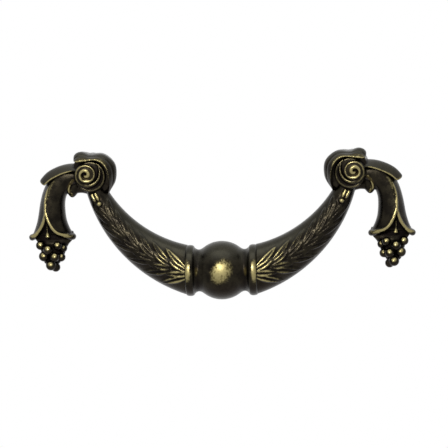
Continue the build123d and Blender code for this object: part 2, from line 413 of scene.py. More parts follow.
# shares run along the arm from the collar, sides across it from -1 to 1
leaf = {
    "roots": (-0.012, 0.115, 0.25, 0.385, 0.515, 0.635),
    "reach": 0.2,
    # for each leaflet of a spray, how far it fans out and how long it is
    "fans": ((0.40, 0.86), (0.98, 1.0)),
    "rootFan": 0.13,
    "upperBorder": 0.72,
    "lowerBorder": 0.90,
    "bend": 1.15,
    "ridgeRadius": 0.74,
    # the ridge's thickness from the root, over the belly, to the tip
    "bellyAt": (0, 0.14, 0.45, 0.85, 1),
    "belly": (0.46, 0.60, 1.0, 0.82, 0.25),
    "twinGap": 0.726,
    "twinSlant": 0.006,
    "twinBend": 0.8,
    "twinEnd": 1.02,
    # the leaflets shrink with the arm, from their full size at this width
    "fullWidth": 18.0,
    "leastSize": 0.3,
    "sink": 0.30,
    "beadAhead": 0.082,
    "beadSide": 0.03,
    "beadSink": 0.1,
    "beadRadius": 0.5,
    "beadFade": 0.45,
    "points": 24,
}


def armBand():
    return armLine("lowerEdge", bandShares), armLine("upperEdge", bandShares)


def stemBead():
    share, side = placesOnBand(*armBand(), [spot(*stem["bead"])])
    return (*onArm(share, side, stem["beadLift"])[0], stem["beadRadius"])


def leafLines():
    # each leaflet is a pair of soft ridges that part in the middle and meet at the root and the tip
    lines = []
    t = np.linspace(0, 1, leaf["points"])
    fatness = np.interp(t, leaf["bellyAt"], leaf["belly"])
    apart = np.sin(np.pi * np.clip(t * leaf["twinEnd"], 0, 1) ** leaf["twinBend"]) ** leaf["twinBend"]
    for root in leaf["roots"]:
        for border in (leaf["upperBorder"], -leaf["lowerBorder"]):
            start = math.copysign(leaf["rootFan"], border)
            for fan, reach in leaf["fans"]:
                share = root + leaf["reach"] * reach * t
                side = fan * (start + (border - start) * t ** leaf["bend"])
                across = armLine("upperEdge", share) - armLine("lowerEdge", share)
                width = np.linalg.norm(across, axis=1)
                size = eased(leaf["leastSize"], 1, width / leaf["fullWidth"])
                radius = leaf["ridgeRadius"] * fatness * size
                slant = math.copysign(leaf["twinSlant"], border) * apart
                gap = leaf["twinGap"] * size * apart / (width / 2)
                for twin in (-1, 1):
                    place = onArm(share - twin * slant, side + twin * gap, -leaf["sink"] * radius)
                    lines.append(np.column_stack([place, radius]))
    return lines


def leafBeads():
    rows = []
    for root in leaf["roots"]:
        share = root + leaf["beadAhead"]
        radius = leaf["beadRadius"] * (1 - leaf["beadFade"] * share)
        rows.append((*onArm(share, leaf["beadSide"], -leaf["beadSink"])[0], radius))
    return rows


stem = {
    "bead": (-4.05, -11.0),
    "stems": (((-2.6, -10.1), (-1.2, -7.4)), ((-3.8, -9.7), (-2.5, -7.0))),
    "radius": 0.62,
    "thicknessAt": (0, 0.3, 1),
    "thickness": (0.55, 1, 0.9),
    "lift": 0.05,
    "beadRadius": 1.02,
    "beadLift": 0.1,
}


def stemLines():
    t = np.linspace(0, 1, 8)
    radius = stem["radius"] * np.interp(t, stem["thicknessAt"], stem["thickness"])
    lines = []
    for start, end in stem["stems"]:
        path = eased(np.array(spot(*start)), np.array(spot(*end)), t[:, None])
        share, side = placesOnBand(*armBand(), path)
        lines.append(np.column_stack([onArm(share, side, stem["lift"]), radius]))
    return lines


# Scroll

hood = {
    "edge": (
        (-6.3, -9.4), (-8.0, -6.3), (-9.85, -3.2), (-10.4, 0.0), (-10.0, 3.0), (-8.0, 5.6), (-5.2, 7.1),
        (-2.7, 7.1), (-0.6, 7.0), (1.6, 7.8), (3.5, 7.75), (5.0, 6.6), (5.35, 5.2),
    ),
    "lip": (
        (-6.5, -8.9), (-7.5, -6.0), (-7.9, -2.8), (-7.7, 0.0), (-6.9, 2.6), (-5.2, 4.6), (-2.8, 5.5),
        (-0.6, 5.4), (1.6, 5.1), (3.3, 4.9), (4.5, 4.5),
    ),
    "back": 11.0,
    "side": 18.4,
    # the depth of its lip on the arm and in full
    "lipDepth": (18.9, 23.4),
    "wall": 1.35,
    "lipRadius": 0.48,
    "groove": 0.38,
    # shares of the hood between which its lip rises out of the arm, and from which its end rounds off
    "rise": (0.02, 0.34),
    "end": 0.955,
    "endSize": 0.08,
    "endLift": 1.2,
    "stations": 120,
}

# the section of a curled petal: shares of its width and height, but for the depths, which are in mm
petal = {
    "rows": 30,
    "spread": 1.7,
    "swell": 0.55,
    "swellBend": 0.9,
    "flareBend": 2.6,
    "grooveAt": 0.62,
    "grooveWidth": 0.07,
    "lipTurn": (90, -80),
    "lipRows": 10,
    "lipInset": 0.2,
    # the inside: where its wall stands, and how far under the lip it bends, in lip radii
    "inner": 0.62,
    "underLip": 0.86,
    "bends": (3, 6),
    # the rear, drawn in from the edge
    "drawnIn": 0.3,
    "mostDrawnIn": 0.9,
    "rearAt": 0.6,
    "rearDip": 0.2,
    "edgeShare": 0.45,
}


def petalRows(width, shape, front):
    # the outside of a curled petal from its edge to its rounded lip, then the inside back down
    back, side, lipRadius = shape["back"], shape["side"], shape["lipRadius"]
    t = np.linspace(0, 1, petal["rows"])
    height = petal["swell"] * np.sin(t * math.pi / 2) ** petal["swellBend"]
    height += (1 - petal["swell"]) * t ** petal["flareBend"]
    bulge = np.column_stack([width * t ** petal["spread"], eased(side, front, height)])
    bulge[:, 1] -= shape["groove"] * bell((t - petal["grooveAt"]) / petal["grooveWidth"])
    turn = np.radians(np.linspace(*petal["lipTurn"], petal["lipRows"]))
    centre = (width - lipRadius * petal["lipInset"], front - lipRadius)
    lip = np.column_stack([centre[0] + lipRadius * np.cos(turn), centre[1] + lipRadius * np.sin(turn)])
    inner = max(petal["inner"] * width, shape["wall"])
    first, second = (front - radii * lipRadius for radii in petal["bends"])
    inside = [(max(inner, petal["underLip"] * width), first), (inner, second), (inner, back)]
    drawnIn = min(petal["mostDrawnIn"], petal["drawnIn"] * width)
    rear = [
        (inner * petal["rearAt"], back - petal["rearDip"]), (drawnIn, back),
        (drawnIn * petal["edgeShare"], eased(back, side, petal["edgeShare"])),
    ]
    return np.vstack([bulge, lip, inside, rear])


def roundedEnd(share, shape):
    # 1 along a petal, falling to 0 in a quarter circle at its end
    past = max(0.0, (share - shape["end"]) / (1 - shape["end"]))
    return math.sqrt(max(0.0, 1 - past ** 2))


def petalShell(shape, frontAt):
    # a curled petal between two lines on the front view; frontAt gives the depth of its lip
    shares = np.linspace(0, 1, shape["stations"])
    edge, lip = (throughPoints(spots(*shape[name]), shares) for name in ("edge", "lip"))

    def section(share, width):
        front = frontAt(share)
        rows = petalRows(width, shape, front)
        middle = np.array([width / 2, (shape["side"] + front) / 2 + shape["endLift"]])
        return eased(middle, rows, eased(shape["endSize"], 1, roundedEnd(share, shape)))

    return skinRings(bandRings(edge, lip, section))


def hoodFront(share):
    return eased(*hood["lipDepth"], float(smoothStep(share, *hood["rise"])))


# drums behind the carving: under the hood, under the volute, and under the hood's end
discEdge = {"rounding": 0.5, "dome": 0.15, "rows": 7}
plate = {"centre": (-2.7, -0.6), "radius": 6.8, "back": 10.5, "front": 18.9}
whorl = {"centre": (-0.7, -0.9), "radius": 5.5, "back": 11.5, "front": 20.7}
lobeBed = {"centre": (2.4, 2.9), "radius": 2.7, "back": 11.2, "front": 19.6}

volute = {
    "discCentre": (0.65, 0.0),
    "discProfile": (
        (0.0, 10.5), (3.35, 10.5), (3.35, 21.4), (3.25, 22.3), (2.8, 22.6), (2.0, 22.8), (1.45, 22.6),
        (1.1, 22.0), (0.0, 21.8),
    ),
    # a rim runs round the outer side of the whorl, between two angles in degrees
    "rimRadius": 0.62,
    "rimAngles": (118, 330),
    "rimInset": 0.3,
    "rimSink": 0.25,
    "rimRows": 60,
    "rimFade": 0.12,
    "rimBend": 0.4,
    # the ridge winds inwards: angle in degrees, distance from the centre, thickness and depth
    "ridge": (
        (150, 5.3, 0.25, 20.7), (180, 5.05, 0.55, 20.8), (225, 4.65, 0.80, 20.95),
        (270, 4.1, 0.85, 21.3), (315, 3.65, 0.80, 21.7), (360, 3.3, 0.62, 22.1),
        (450, 3.15, 0.50, 22.3), (540, 3.15, 0.48, 22.3), (585, 2.95, 0.52, 22.35),
        (630, 2.55, 0.60, 22.4), (675, 2.3, 0.64, 22.4), (720, 2.0, 0.64, 22.4),
        (765, 1.75, 0.70, 22.45), (810, 1.45, 0.76, 22.5), (855, 1.2, 0.78, 22.5),
        (900, 1.05, 0.76, 22.5), (945, 0.9, 0.66, 22.5), (990, 0.74, 0.52, 22.5),
        (1030, 0.58, 0.36, 22.4), (1060, 0.45, 0.2, 22.3),
    ),
}


def discShell(centre, radius, back, front):
    # a low drum with a rounded shoulder and a slightly domed face
    rounding, dome = discEdge["rounding"], discEdge["dome"]
    turn = np.radians(np.linspace(0, 90, discEdge["rows"]))
    reach, height = radius + rounding * (np.cos(turn) - 1), front + rounding * (np.sin(turn) - 1)
    profile = [(0, back), (radius, back), *zip(reach, height), (0, front + dome)]
    return turned(profile, spot(*centre))


def ringLine(centre, radius, turn, depth, thickness):
    x, z = spot(*centre)
    return np.column_stack([x + radius * np.cos(turn), -depth, z + radius * np.sin(turn), thickness])


def voluteLines():
    table = np.array(volute["ridge"])
    angle = np.linspace(table[0, 0], table[-1, 0], 220)
    radius, thick, depth = (np.interp(angle, table[:, 0], table[:, column]) for column in (1, 2, 3))
    turn = np.radians(angle)
    ridge = ringLine(volute["discCentre"], radius, turn, depth, thick)
    rows, fade = volute["rimRows"], volute["rimFade"]
    turn = np.radians(np.linspace(*volute["rimAngles"], rows))
    taper = np.sin(np.linspace(fade, 1 - fade, rows) * math.pi) ** volute["rimBend"]
    reach, level = whorl["radius"] - volute["rimInset"], whorl["front"] - volute["rimSink"]
    rim = ringLine(whorl["centre"], reach, turn, np.full(rows, level), volute["rimRadius"] * taper)
    return [ridge, rim]


# Drop

upperLeaf = {
    "edge": ((1.8, 3.0), (5.2, 3.35), (8.9, 3.0), (12.5, 1.8), (15.8, -0.2), (18.3, -3.1)),
    "lip": ((1.8, 1.3), (5.1, 1.35), (8.5, 0.55), (11.8, -0.85), (14.4, -2.4), (16.4, -4.4)),
    "back": 11.4,
    "side": 15.2,
    "lipDepth": (21.6, 19.4),
    "wall": 1.5,
    "lipRadius": 0.42,
    "groove": 0.0,
    "end": 0.95,
    "endSize": 0.3,
    "endLift": 0.0,
    "stations": 80,
}


def upperLeafFront(share):
    return eased(*upperLeaf["lipDepth"], share)


husk = {
    "inner": (
        (2.5, -3.6), (6.6, -5.8), (8.6, -9.0), (9.0, -13.5), (8.5, -17.6), (7.4, -20.6), (6.3, -22.6),
    ),
    "outer": (
        (4.0, 1.0), (9.8, 1.2), (14.0, -1.6), (16.9, -6.6), (18.4, -12.5), (19.4, -17.8), (21.1, -22.6),
    ),
    "back": 11.4,
    "side": 15.2,
    "crest": (20.0, 20.6),
    "stations": 120,
    "around": 64,
    # lines on the front view: one ridge that parts into two lips at the split
    "ridge": ((13.4, -3.0), (14.7, -5.6), (15.7, -9.7), (15.75, -14.0)),
    "innerLip": (
        (15.75, -14.0), (15.1, -16.0), (13.8, -18.9), (11.9, -21.2), (9.9, -22.1), (7.8, -22.5),
    ),
    "outerLip": ((15.75, -14.0), (16.2, -16.0), (17.3, -18.9), (19.1, -21.5), (20.4, -22.5)),
    "keel": 0.75,
    "keelWidth": 0.30,
    "lipRadius": 0.66,
    "lipLift": 0.35,
    # each line's thickness at its start, middle and end
    "lipThickness": {
        "ridge": (0.25, 0.75, 0.95), "innerLip": (0.95, 1.0, 1.0), "outerLip": (0.95, 1.0, 1.0),
    },
    "lipRows": 40,
    "pocketDepth": 3.6,
    "pocketEdge": 0.07,
    "pocketRun": 0.12,
    # the thick rims of the mouth: out, up, depth and radius
    "innerRim": (
        (10.2, -22.2, 20.0, 0.55), (8.2, -22.9, 18.8, 0.9), (6.5, -23.4, 16.6, 1.2),
        (7.0, -23.3, 13.0, 1.1),
    ),
    "outerRim": (
        (19.0, -21.6, 19.3, 0.55), (20.3, -22.8, 17.9, 0.95), (21.25, -23.5, 16.2, 1.25),
        (20.7, -23.4, 13.0, 1.1),
    ),
}


def huskLine(which, shares):
    return throughPoints(spots(*husk[which]), shares)


def onHuskLine(name, count):
    # shares and sides along one of the husk's lines
    band = huskLine("inner", bandShares), huskLine("outer", bandShares)
    return placesOnBand(*band, huskLine(name, np.linspace(0, 1, count)))


def huskShell():
    # the front has a keel under each line and sinks into a pocket between the two lips
    shares = np.linspace(0, 1, husk["stations"])
    ridge, inner, outer = (onHuskLine(name, 60) for name in ("ridge", "innerLip", "outerLip"))
    split = ridge[0][-1]

    def section(share, width):
        rows = domeRows((husk["back"], husk["side"], eased(*husk["crest"], share)), husk["around"])
        side = 2 * rows[:, 0] - 1
        isFront = np.arange(len(rows)) < husk["around"]
        low, high = (
            np.interp(share, np.append(ridge[0], line[0][1:]), np.append(ridge[1], line[1][1:]))
            for line in (inner, outer)
        )
        nearest = np.minimum(np.abs(side - low), np.abs(side - high))
        dome = np.sqrt(np.clip(1 - side ** 2, 0, 1))
        rows[:, 1] += husk["keel"] * bell(nearest / husk["keelWidth"]) * isFront * dome
        soft = husk["pocketEdge"]
        if high - low > 2 * soft:
            inPocket = smoothStep(side, low, low + soft) * (1 - smoothStep(side, high - soft, high))
            sunk = smoothStep(share, split, split + husk["pocketRun"])
            rows[:, 1] -= husk["pocketDepth"] * inPocket * isFront * sunk
        rows[:, 0] *= width
        return rows

    return skinRings(bandRings(huskLine("inner", shares), huskLine("outer", shares), section))


def onHusk(share, side, lift):
    # points on the husk's front, lifted straight out
    low, high = huskLine("inner", share), huskLine("outer", share)
    middle, half = (low + high) / 2, (high - low) / 2
    height = (eased(*husk["crest"], share) - husk["side"]) * np.sqrt(np.clip(1 - side ** 2, 0, 1))
    flat = middle + half * side[:, None]
    return np.column_stack([flat[:, 0], -(husk["side"] + height + lift), flat[:, 1]])


def solidLine(rows, count):
    # a smooth line through rows of out, up, depth and radius
    path = throughPoints([row[:3] for row in rows], np.linspace(0, 1, count))
    gaps = np.linalg.norm(np.diff(np.array(rows)[:, :3], axis=0), axis=1)
    along = np.concatenate([[0], np.cumsum(gaps)]) / gaps.sum()
    radius = np.interp(np.linspace(0, 1, count), along, [row[3] for row in rows])
    return np.column_stack([holeX + path[:, 0], -path[:, 2], path[:, 1], radius])


def lipLines():
    lines = []
    for name, thickness in husk["lipThickness"].items():
        share, side = onHuskLine(name, husk["lipRows"])
        radius = np.interp(np.linspace(0, 1, husk["lipRows"]), (0, 0.5, 1), thickness)
        lines.append(np.column_stack([onHusk(share, side, husk["lipLift"]), husk["lipRadius"] * radius]))
    return lines + [solidLine(husk[name], 24) for name in ("innerRim", "outerRim")]


# the small curl under the scroll: rows of out, up, depth and radius
curl = {
    "lobe": (
        (3.6, -1.8, 15.6, 1.8), (5.3, -4.0, 16.2, 2.2), (6.0, -6.0, 16.0, 2.3),
        (6.15, -7.2, 15.8, 2.0), (6.2, -8.1, 15.7, 1.5), (6.2, -8.8, 15.6, 0.8),
        (6.2, -9.05, 15.5, 0.3),
    ),
    "root": ((5.6, -5.6, 15.8, 2.0), (2.8, -5.4, 15.6, 2.1), (1.0, -5.3, 15.4, 2.6)),
    "lip": (
        (4.9, -1.8, 18.2, 0.25), (6.2, -3.2, 18.7, 0.42), (7.1, -4.9, 18.5, 0.5),
        (7.3, -6.7, 17.6, 0.5), (6.6, -8.2, 16.3, 0.4),
    ),
}


def curlLines():
    return [solidLine(curl[name], 24) for name in ("lobe", "root", "lip")]


bunch = {
    # each grape: out, up, depth and radius
    "grapes": (
        (11.9, -26.3, 18.9, 1.65), (18.2, -26.3, 17.7, 1.75), (10.1, -27.5, 16.8, 1.7),
        (15.3, -27.7, 19.6, 1.85), (17.0, -30.3, 18.0, 1.9), (13.0, -30.5, 19.1, 1.85),
        (10.9, -30.8, 16.9, 1.75), (14.5, -33.6, 18.2, 1.95), (12.9, -34.5, 16.9, 1.8),
        (15.6, -31.9, 16.6, 1.7),
    ),
    # the bud in the split between the lips, in rows of the same kind
    "bud": (
        (15.5, -18.6, 18.9, 0.16), (15.45, -20.6, 19.0, 0.3), (15.3, -22.2, 19.4, 0.72),
        (15.25, -23.2, 19.5, 0.95),
    ),
    # the core that carries the grapes, from inside the mouth down
    "coreInner": ((6.3, -21.6), (6.4, -24.2), (8.0, -26.2), (9.2, -28.6), (10.5, -31.6), (13.0, -35.0)),
    "coreOuter": (
        (20.9, -21.6), (20.5, -24.0), (19.3, -26.0), (18.5, -28.6), (17.3, -31.6), (14.9, -35.0),
    ),
    "coreBack": 11.8,
    "coreSide": 14.6,
    "crestAt": (0, 0.3, 1),
    "coreCrest": (15.6, 17.4, 16.9),
    "coreStations": 40,
    "coreAround": 24,
}


def bunchRows():
    return [(holeX + out, -depth, up, radius) for out, up, depth, radius in bunch["grapes"]]


def bunchCore():
    shares = np.linspace(0, 1, bunch["coreStations"])
    inner = throughPoints(spots(*bunch["coreInner"]), shares)
    outer = throughPoints(spots(*bunch["coreOuter"]), shares)

    def section(share, width):
        crest = np.interp(share, bunch["crestAt"], bunch["coreCrest"])
        return domeRows((bunch["coreBack"], bunch["coreSide"], crest), bunch["coreAround"], width)

    return skinRings(bandRings(inner, outer, section))


# Middle

ball = {
    "centre": -36.0,
    "depth": 19.5,
    "radius": 10.65,
    "neckRadius": 7.65,
    "neckX": 8.7,
    # the ball goes over into the neck where its section has this radius
    "leaveRadius": 8.35,
    # the neck's end, from the collar's inner side and from the neck's radius
    "neckEnd": ((-0.6, 0.35), (0.0, 0.9)),
    "collarX": 11.5,
    "collarRadius": 9.3,
    "collarHalf": 1.5,
    "collarRise": 0.75,
    "collarBend": 0.8,
    "collarFrom": 165,
    "axisRadius": 0.01,
    "cutDepth": 13.0,
    "steps": 140,
}


def middleShell():
    # a profile turned about a level axis, then flattened behind
    radius, neck = ball["radius"], ball["neckRadius"]
    leave = math.acos(ball["leaveRadius"] / radius)
    sphere = [(radius * math.sin(a), radius * math.cos(a)) for a in np.linspace(0, leave, 40)]
    edge = ball["collarX"] - ball["collarHalf"]
    neckEnd = [(edge + x, neck + reach) for x, reach in ball["neckEnd"]]
    neckLine = [sphere[-3], sphere[-1], (ball["neckX"], neck), *neckEnd]
    hollow = throughPoints(neckLine, np.linspace(0, 1, 24))
    half, rise = ball["collarHalf"], ball["collarRise"]
    low = ball["collarRadius"] - rise
    bead = [
        (ball["collarX"] + half * math.cos(a), low + rise * math.sin(a) ** ball["collarBend"])
        for a in np.radians(np.linspace(ball["collarFrom"], 0, 14))
    ]
    closing = (ball["collarX"] + half, ball["axisRadius"])
    outline = [*sphere[:-3], *[tuple(p) for p in hollow], *bead, closing]
    profile = [(-x, reach) for x, reach in outline[:0:-1]] + outline
    rings = []
    angles = np.linspace(0, 2 * math.pi, ball["steps"], endpoint=False)
    for x, reach in profile:
        depth = np.maximum(ball["depth"] + reach * np.cos(angles), ball["cutDepth"])
        up = ball["centre"] + reach * np.sin(angles)
        rings.append(np.column_stack([np.full(ball["steps"], x), -depth, up]))
    return skinRings(rings)


# Metal

def plainSocket(value):
    return value.socket if isinstance(value, Value) else value


class Value:
    # a socket in a shader tree; the usual operators add Math nodes
    def __init__(self, nodes, socket):
        self.nodes, self.socket = nodes, socket

    def maths(self, operation, first, second, clamp=False):
        settings = {"operation": operation, "use_clamp": clamp}
        values = {"at0": plainSocket(first), "at1": plainSocket(second)}
        return Value(self.nodes, self.nodes.add("ShaderNodeMath", settings, **values).outputs[0])

    def __add__(self, other):
        return self.maths("ADD", self, other)

    __radd__ = __add__

    def __sub__(self, other):
        return self.maths("SUBTRACT", self, other)

    def __rsub__(self, other):
        return self.maths("SUBTRACT", other, self)

    def __mul__(self, other):
        return self.maths("MULTIPLY", self, other)

    __rmul__ = __mul__

    def clamped(self):
        return self.maths("ADD", self, 0.0, True)

    def between(self, low, high):
        # 0 below low, 1 above high, smooth in between
        node = self.nodes.add(
            "ShaderNodeMapRange", {"interpolation_type": "SMOOTHSTEP"},
            Value=self.socket, at1=low, at2=high, at3=0.0, at4=1.0,
        )
        return Value(self.nodes, node.outputs[0])


bronze = {
    "hollowColour": (0.0062, 0.0048, 0.0046, 1),
    "darkColour": (0.0105, 0.0090, 0.0070, 1),
    "midColour": (0.0215, 0.0185, 0.0125, 1),
    "underReflectionColour": (0.024, 0.0175, 0.0140, 1),
    "topSheenColour": (0.058, 0.056, 0.042, 1),
    "glintFringeColour": (0.075, 0.056, 0.016, 1),
    "rubbedAndGlintColour": (0.28, 0.24, 0.11, 1),
    "metallic": 1.0,
    # scales of the noises, from fine to coarse
    "grain": 2600.0,
    "mottle": 1100.0,
    "cloud": 260.0,
    # what counts towards rubbed brass and painted highlight, and between which sums it comes up
    "glintAndWearWeight": 0.75,
    "facingWeight": 0.5,
    "upwardWeight": 0.2,
    "rubbedAndGlintRange": (0.84, 1.16),
    # how far the noises break up its border: a gain on the painted highlights and a least amount
    "grainBreak": (0.75, 0.06),
    "mottleBreak": (0.6, 0.3),
    "cloudBreak": 0.3,
    # rubbed places stay dim where little is handled
    # rubbed brass and painted highlights stay dim away from the glint places
    "dimRange": (0.25, 0.64),
    "dimLeast": 0.2,
    "polishedRange": (0.66, 0.9),
    # dark patina of the hollows, which also carries the painted shade in the husk's pocket and under its
    # mouth
    "hollowRange": (0.52, 0.95),
    "hollowBreak": (0.2, 0.25),
    "cloudRange": (0.36, 0.62),
    # painted reflections: a warm tint on faces that look down, a pale sheen on faces that look up, and a
    # golden fringe round the painted highlights
    "underReflectionRange": (0.55, 0.95),
    "underReflectionShare": 0.6,
    "topSheenRange": (0.62, 0.95),
    "topSheenShare": 0.55,
    "glintFringeRange": (0.58, 0.97),
    "glintFringeShare": 0.8,
    "rough": 0.30,
    "roughInHollows": 0.2,
    "roughWherePolished": 0.10,
    "smearRange": (0.66, 1.0),
    "roughVaries": 0.3,
    # how much the grain, the mottle and the cloud stand out
    "relief": (0.6, 0.7, 0.6),
    "bumpStrength": 0.4,
    "bumpHeight": 0.00006,
}


def mixed(nodes, factor, first, second):
    values = {"at0": factor.socket, "at6": plainSocket(first), "at7": plainSocket(second)}
    return Value(nodes, nodes.add("ShaderNodeMix", {"data_type": "RGBA"}, **values).outputs[2])


def bronzeMaterial():
    material = bpy.data.materials.new("antiqueBronze")
    material.use_nodes = True
    tree = material.node_tree
    nodes = Tree(tree)
    shader = tree.nodes["Principled BSDF"]
    place = nodes.add("ShaderNodeTexCoord").outputs["Object"]

    def noise(name, detail, rough, seed):
        moved = nodes.add("ShaderNodeMapping", None, Vector=place, Location=(seed, 2 * seed, -seed))
        made = nodes.add(
            "ShaderNodeTexNoise", None,
            Vector=moved.outputs[0], Scale=bronze[name], Detail=detail, Roughness=rough,
        )
        return Value(nodes, made.outputs[0])

    def attribute(name):
        return Value(nodes, nodes.add("ShaderNodeAttribute", {"attribute_name": name}).outputs["Fac"])

    ridge, pit, facing, upward, glintAndWear = (
        attribute(name) for name in ("ridge", "pit", "facing", "upward", "glintAndWear")
    )
    grain = noise("grain", 3.0, 0.65, 0.0)
    cloud = noise("cloud", 4.0, 0.6, 0.3)
    mottle = noise("mottle", 2.0, 0.6, 0.7)
    # rubbed brass on the raised relief, with painted highlights added on glint places, on faces turned to
    # the front lamp and on faces that look up
    wornAndLit = ridge + (glintAndWear - 0.5) * bronze["glintAndWearWeight"] + (facing - 0.6) * bronze["facingWeight"]
    wornAndLit = wornAndLit + (upward - 0.5) * bronze["upwardWeight"]
    polished = glintAndWear.between(*bronze["polishedRange"])
    gain, least = bronze["grainBreak"]
    wornAndLit = wornAndLit + (grain - 0.5) * (glintAndWear * gain + least)
    gain, least = bronze["mottleBreak"]
    wornAndLit = wornAndLit + (mottle - 0.5) * (polished * gain + least) + (cloud - 0.5) * bronze["cloudBreak"]
    least = bronze["dimLeast"]
    bright = glintAndWear.between(*bronze["dimRange"]) * (1 - least) + least
    rubbedAndGlint = wornAndLit.between(*bronze["rubbedAndGlintRange"]) * bright
    # dark patina in the hollows, with the painted shade of the husk's pocket and under its mouth
    byGrain, byCloud = bronze["hollowBreak"]
    hollow = (pit + (grain - 0.5) * byGrain + (cloud - 0.5) * byCloud).between(*bronze["hollowRange"])
    clouded = cloud.between(*bronze["cloudRange"])
    colour = mixed(nodes, clouded, bronze["darkColour"], bronze["midColour"])
    # painted reflections on faces that look down and up, and a painted golden fringe round the highlights
    for name, measure in (("underReflection", 1 - upward), ("topSheen", upward), ("glintFringe", glintAndWear)):
        share = measure.between(*bronze[name + "Range"]) * bronze[name + "Share"]
        colour = mixed(nodes, share, colour, bronze[name + "Colour"])
    colour = mixed(nodes, hollow, colour, bronze["hollowColour"])
    # the rubbed brass and painted highlights, kept out of the hollows
    colour = mixed(nodes, rubbedAndGlint * (1 - hollow), colour, bronze["rubbedAndGlintColour"])
    rough = bronze["rough"] + bronze["roughInHollows"] * hollow
    rough = rough + (grain + mottle - 1) * bronze["roughVaries"]
    rough = rough + glintAndWear.between(*bronze["smearRange"]) * bronze["roughWherePolished"]
    byGrain, byMottle, byCloud = bronze["relief"]
    relief = grain * byGrain + mottle * byMottle + cloud * byCloud
    bump = nodes.add(
        "ShaderNodeBump", None,
        Strength=bronze["bumpStrength"], Distance=bronze["bumpHeight"], Height=relief.socket,
    )
    tree.links.new(colour.socket, shader.inputs["Base Color"])
    tree.links.new(rough.clamped().socket, shader.inputs["Roughness"])
    tree.links.new(bump.outputs[0], shader.inputs["Normal"])
    shader.inputs["Metallic"].default_value = bronze["metallic"]
    return material


metal = bronzeMaterial()
ridges, ridgeSockets = ridgeTree()
berries, berrySockets = berryTree()


# Wear and painted light: what the metal's looks follow, measured on the finished skin

def neighbourMean(values, edges, count):
    # each vertex takes the mean of its neighbours
    total = np.zeros_like(values)
    first, second = edges[:, 0], edges[:, 1]
    for axis in range(values.shape[1]):
        total[:, axis] = np.bincount(first, values[second, axis], count)
        total[:, axis] += np.bincount(second, values[first, axis], count)
    degree = np.bincount(first, minlength=count) + np.bincount(second, minlength=count)
    return total / np.maximum(degree, 1)[:, None]


# how much painted highlight and rubbed brass each place gets, from 0 to 1; lengths in mm, out and up from
# the screw hole
polish = {
    "plain": 0.42,
    "behind": {"from": 14.5, "to": 17.5, "share": 0.2},
    "drop": {"from": 6.2, "line": 1.2, "rimBelow": -21.7, "high": 0.63, "flat": 0.34},
    "mouth": {"depth": 17.9, "below": -17.5, "from": 11.0, "to": 18.5, "share": 0.2},
    "grapes": {
        "under": (22.9, 23.7), "share": 0.20, "gain": 0.43,
        "toward": (0.0, -0.88, 0.475), "cap": (0.80, 0.94),
    },
    "leafLip": {"from": 5.8, "under": 0.7, "share": 0.62},
    "hood": {
        "from": -11.0, "to": 5.8, "over": -8.0, "above": (1.0, 4.0),
        "depth": 22.0, "high": 0.72, "low": 0.32,
    },
    "curl": {"line": 0.85, "under": 0.4, "depth": 16.2, "share": 0.80},
    "eye": {"within": 4.6, "depth": 21.2, "reach": 2.7, "gain": 0.62, "low": 0.32},
    "arm": {"to": -11.0, "throat": (1.5, -7.0), "near": 14.0, "far": 30.0, "high": 0.61, "low": 0.29},
    "stems": {"at": (-2.9, -9.2), "to": 1.0, "under": -6.4, "reach": 2.7, "gain": 0.40},
    "collar": {"up": -35.4, "tall": 4.0, "line": 11.9, "wide": 0.85, "gain": 0.66, "low": 0.26},
    "neck": {"up": -35.4, "tall": 2.4, "line": 8.9, "wide": 0.8, "gain": 0.70, "low": 0.28},
    # on the ball, x and up from the middle of the handle
    "ball": {
        "within": 7.0, "at": (0.2, -35.3), "lean": 55.0, "long": 5.7, "short": 4.2,
        "gain": 0.78, "low": 0.28,
    },
}


def acrossLip(name, up):
    # how far out one of the husk's lines lies at each height; above the split both lips are the ridge
    line = np.array(husk["ridge"] + husk[name][1:])[::-1]
    return np.interp(up, line[:, 1], line[:, 0])


def dropShare(out, depth, up, normal):
    # painted highlights on the husk's lines and rims and on the caps of the grapes, and painted shade
    # inside the mouth
    part = polish["drop"]
    away = np.minimum(*(np.abs(out - acrossLip(name, up)) for name in ("innerLip", "outerLip")))
    share = eased(part["flat"], part["high"], bell(away / part["line"]))
    share = np.where(up < part["rimBelow"], part["high"], share)
    part = polish["grapes"]
    cap = smoothStep(normal @ np.array(part["toward"]), *part["cap"])
    share = eased(share, part["share"] + part["gain"] * cap, smoothStep(-up, *part["under"]))
    part = polish["mouth"]
    inside = (depth < part["depth"]) & (up < part["below"]) & (out > part["from"]) & (out < part["to"])
    return np.where(inside, part["share"], share)


def scrollShare(share, out, depth, up):
    # painted highlights on the upper leaf, the top of the hood, the curl's lip and the eye of the volute
    part = polish["leafLip"]
    lip = np.array(upperLeaf["lip"])
    onLeaf = (out > part["from"]) & (up > np.interp(out, lip[:, 0], lip[:, 1]) - part["under"])
    share = np.where(onLeaf, part["share"], share)
    part = polish["hood"]
    top = eased(part["low"], part["high"], smoothStep(up, *part["above"]) * (depth > part["depth"]))
    share = np.where((out <= part["to"]) & (out > part["from"]) & (up > part["over"]), top, share)
    part = polish["curl"]
    lip = np.array(curl["lip"])[::-1]
    away = np.abs(out - np.interp(up, lip[:, 1], lip[:, 0]))
    beside = (up < lip[-1, 1]) & (up > lip[0, 1] - part["under"])
    onCurl = (away < part["line"]) & (depth > part["depth"]) & beside
    share = np.where(onCurl & ~onLeaf, part["share"], share)
    part = polish["eye"]
    away = np.hypot(out - volute["discCentre"][0], up - volute["discCentre"][1])
    eye = part["low"] + part["gain"] * bell(away / part["reach"])
    return np.where((away < part["within"]) & (depth > part["depth"]), eye, share)


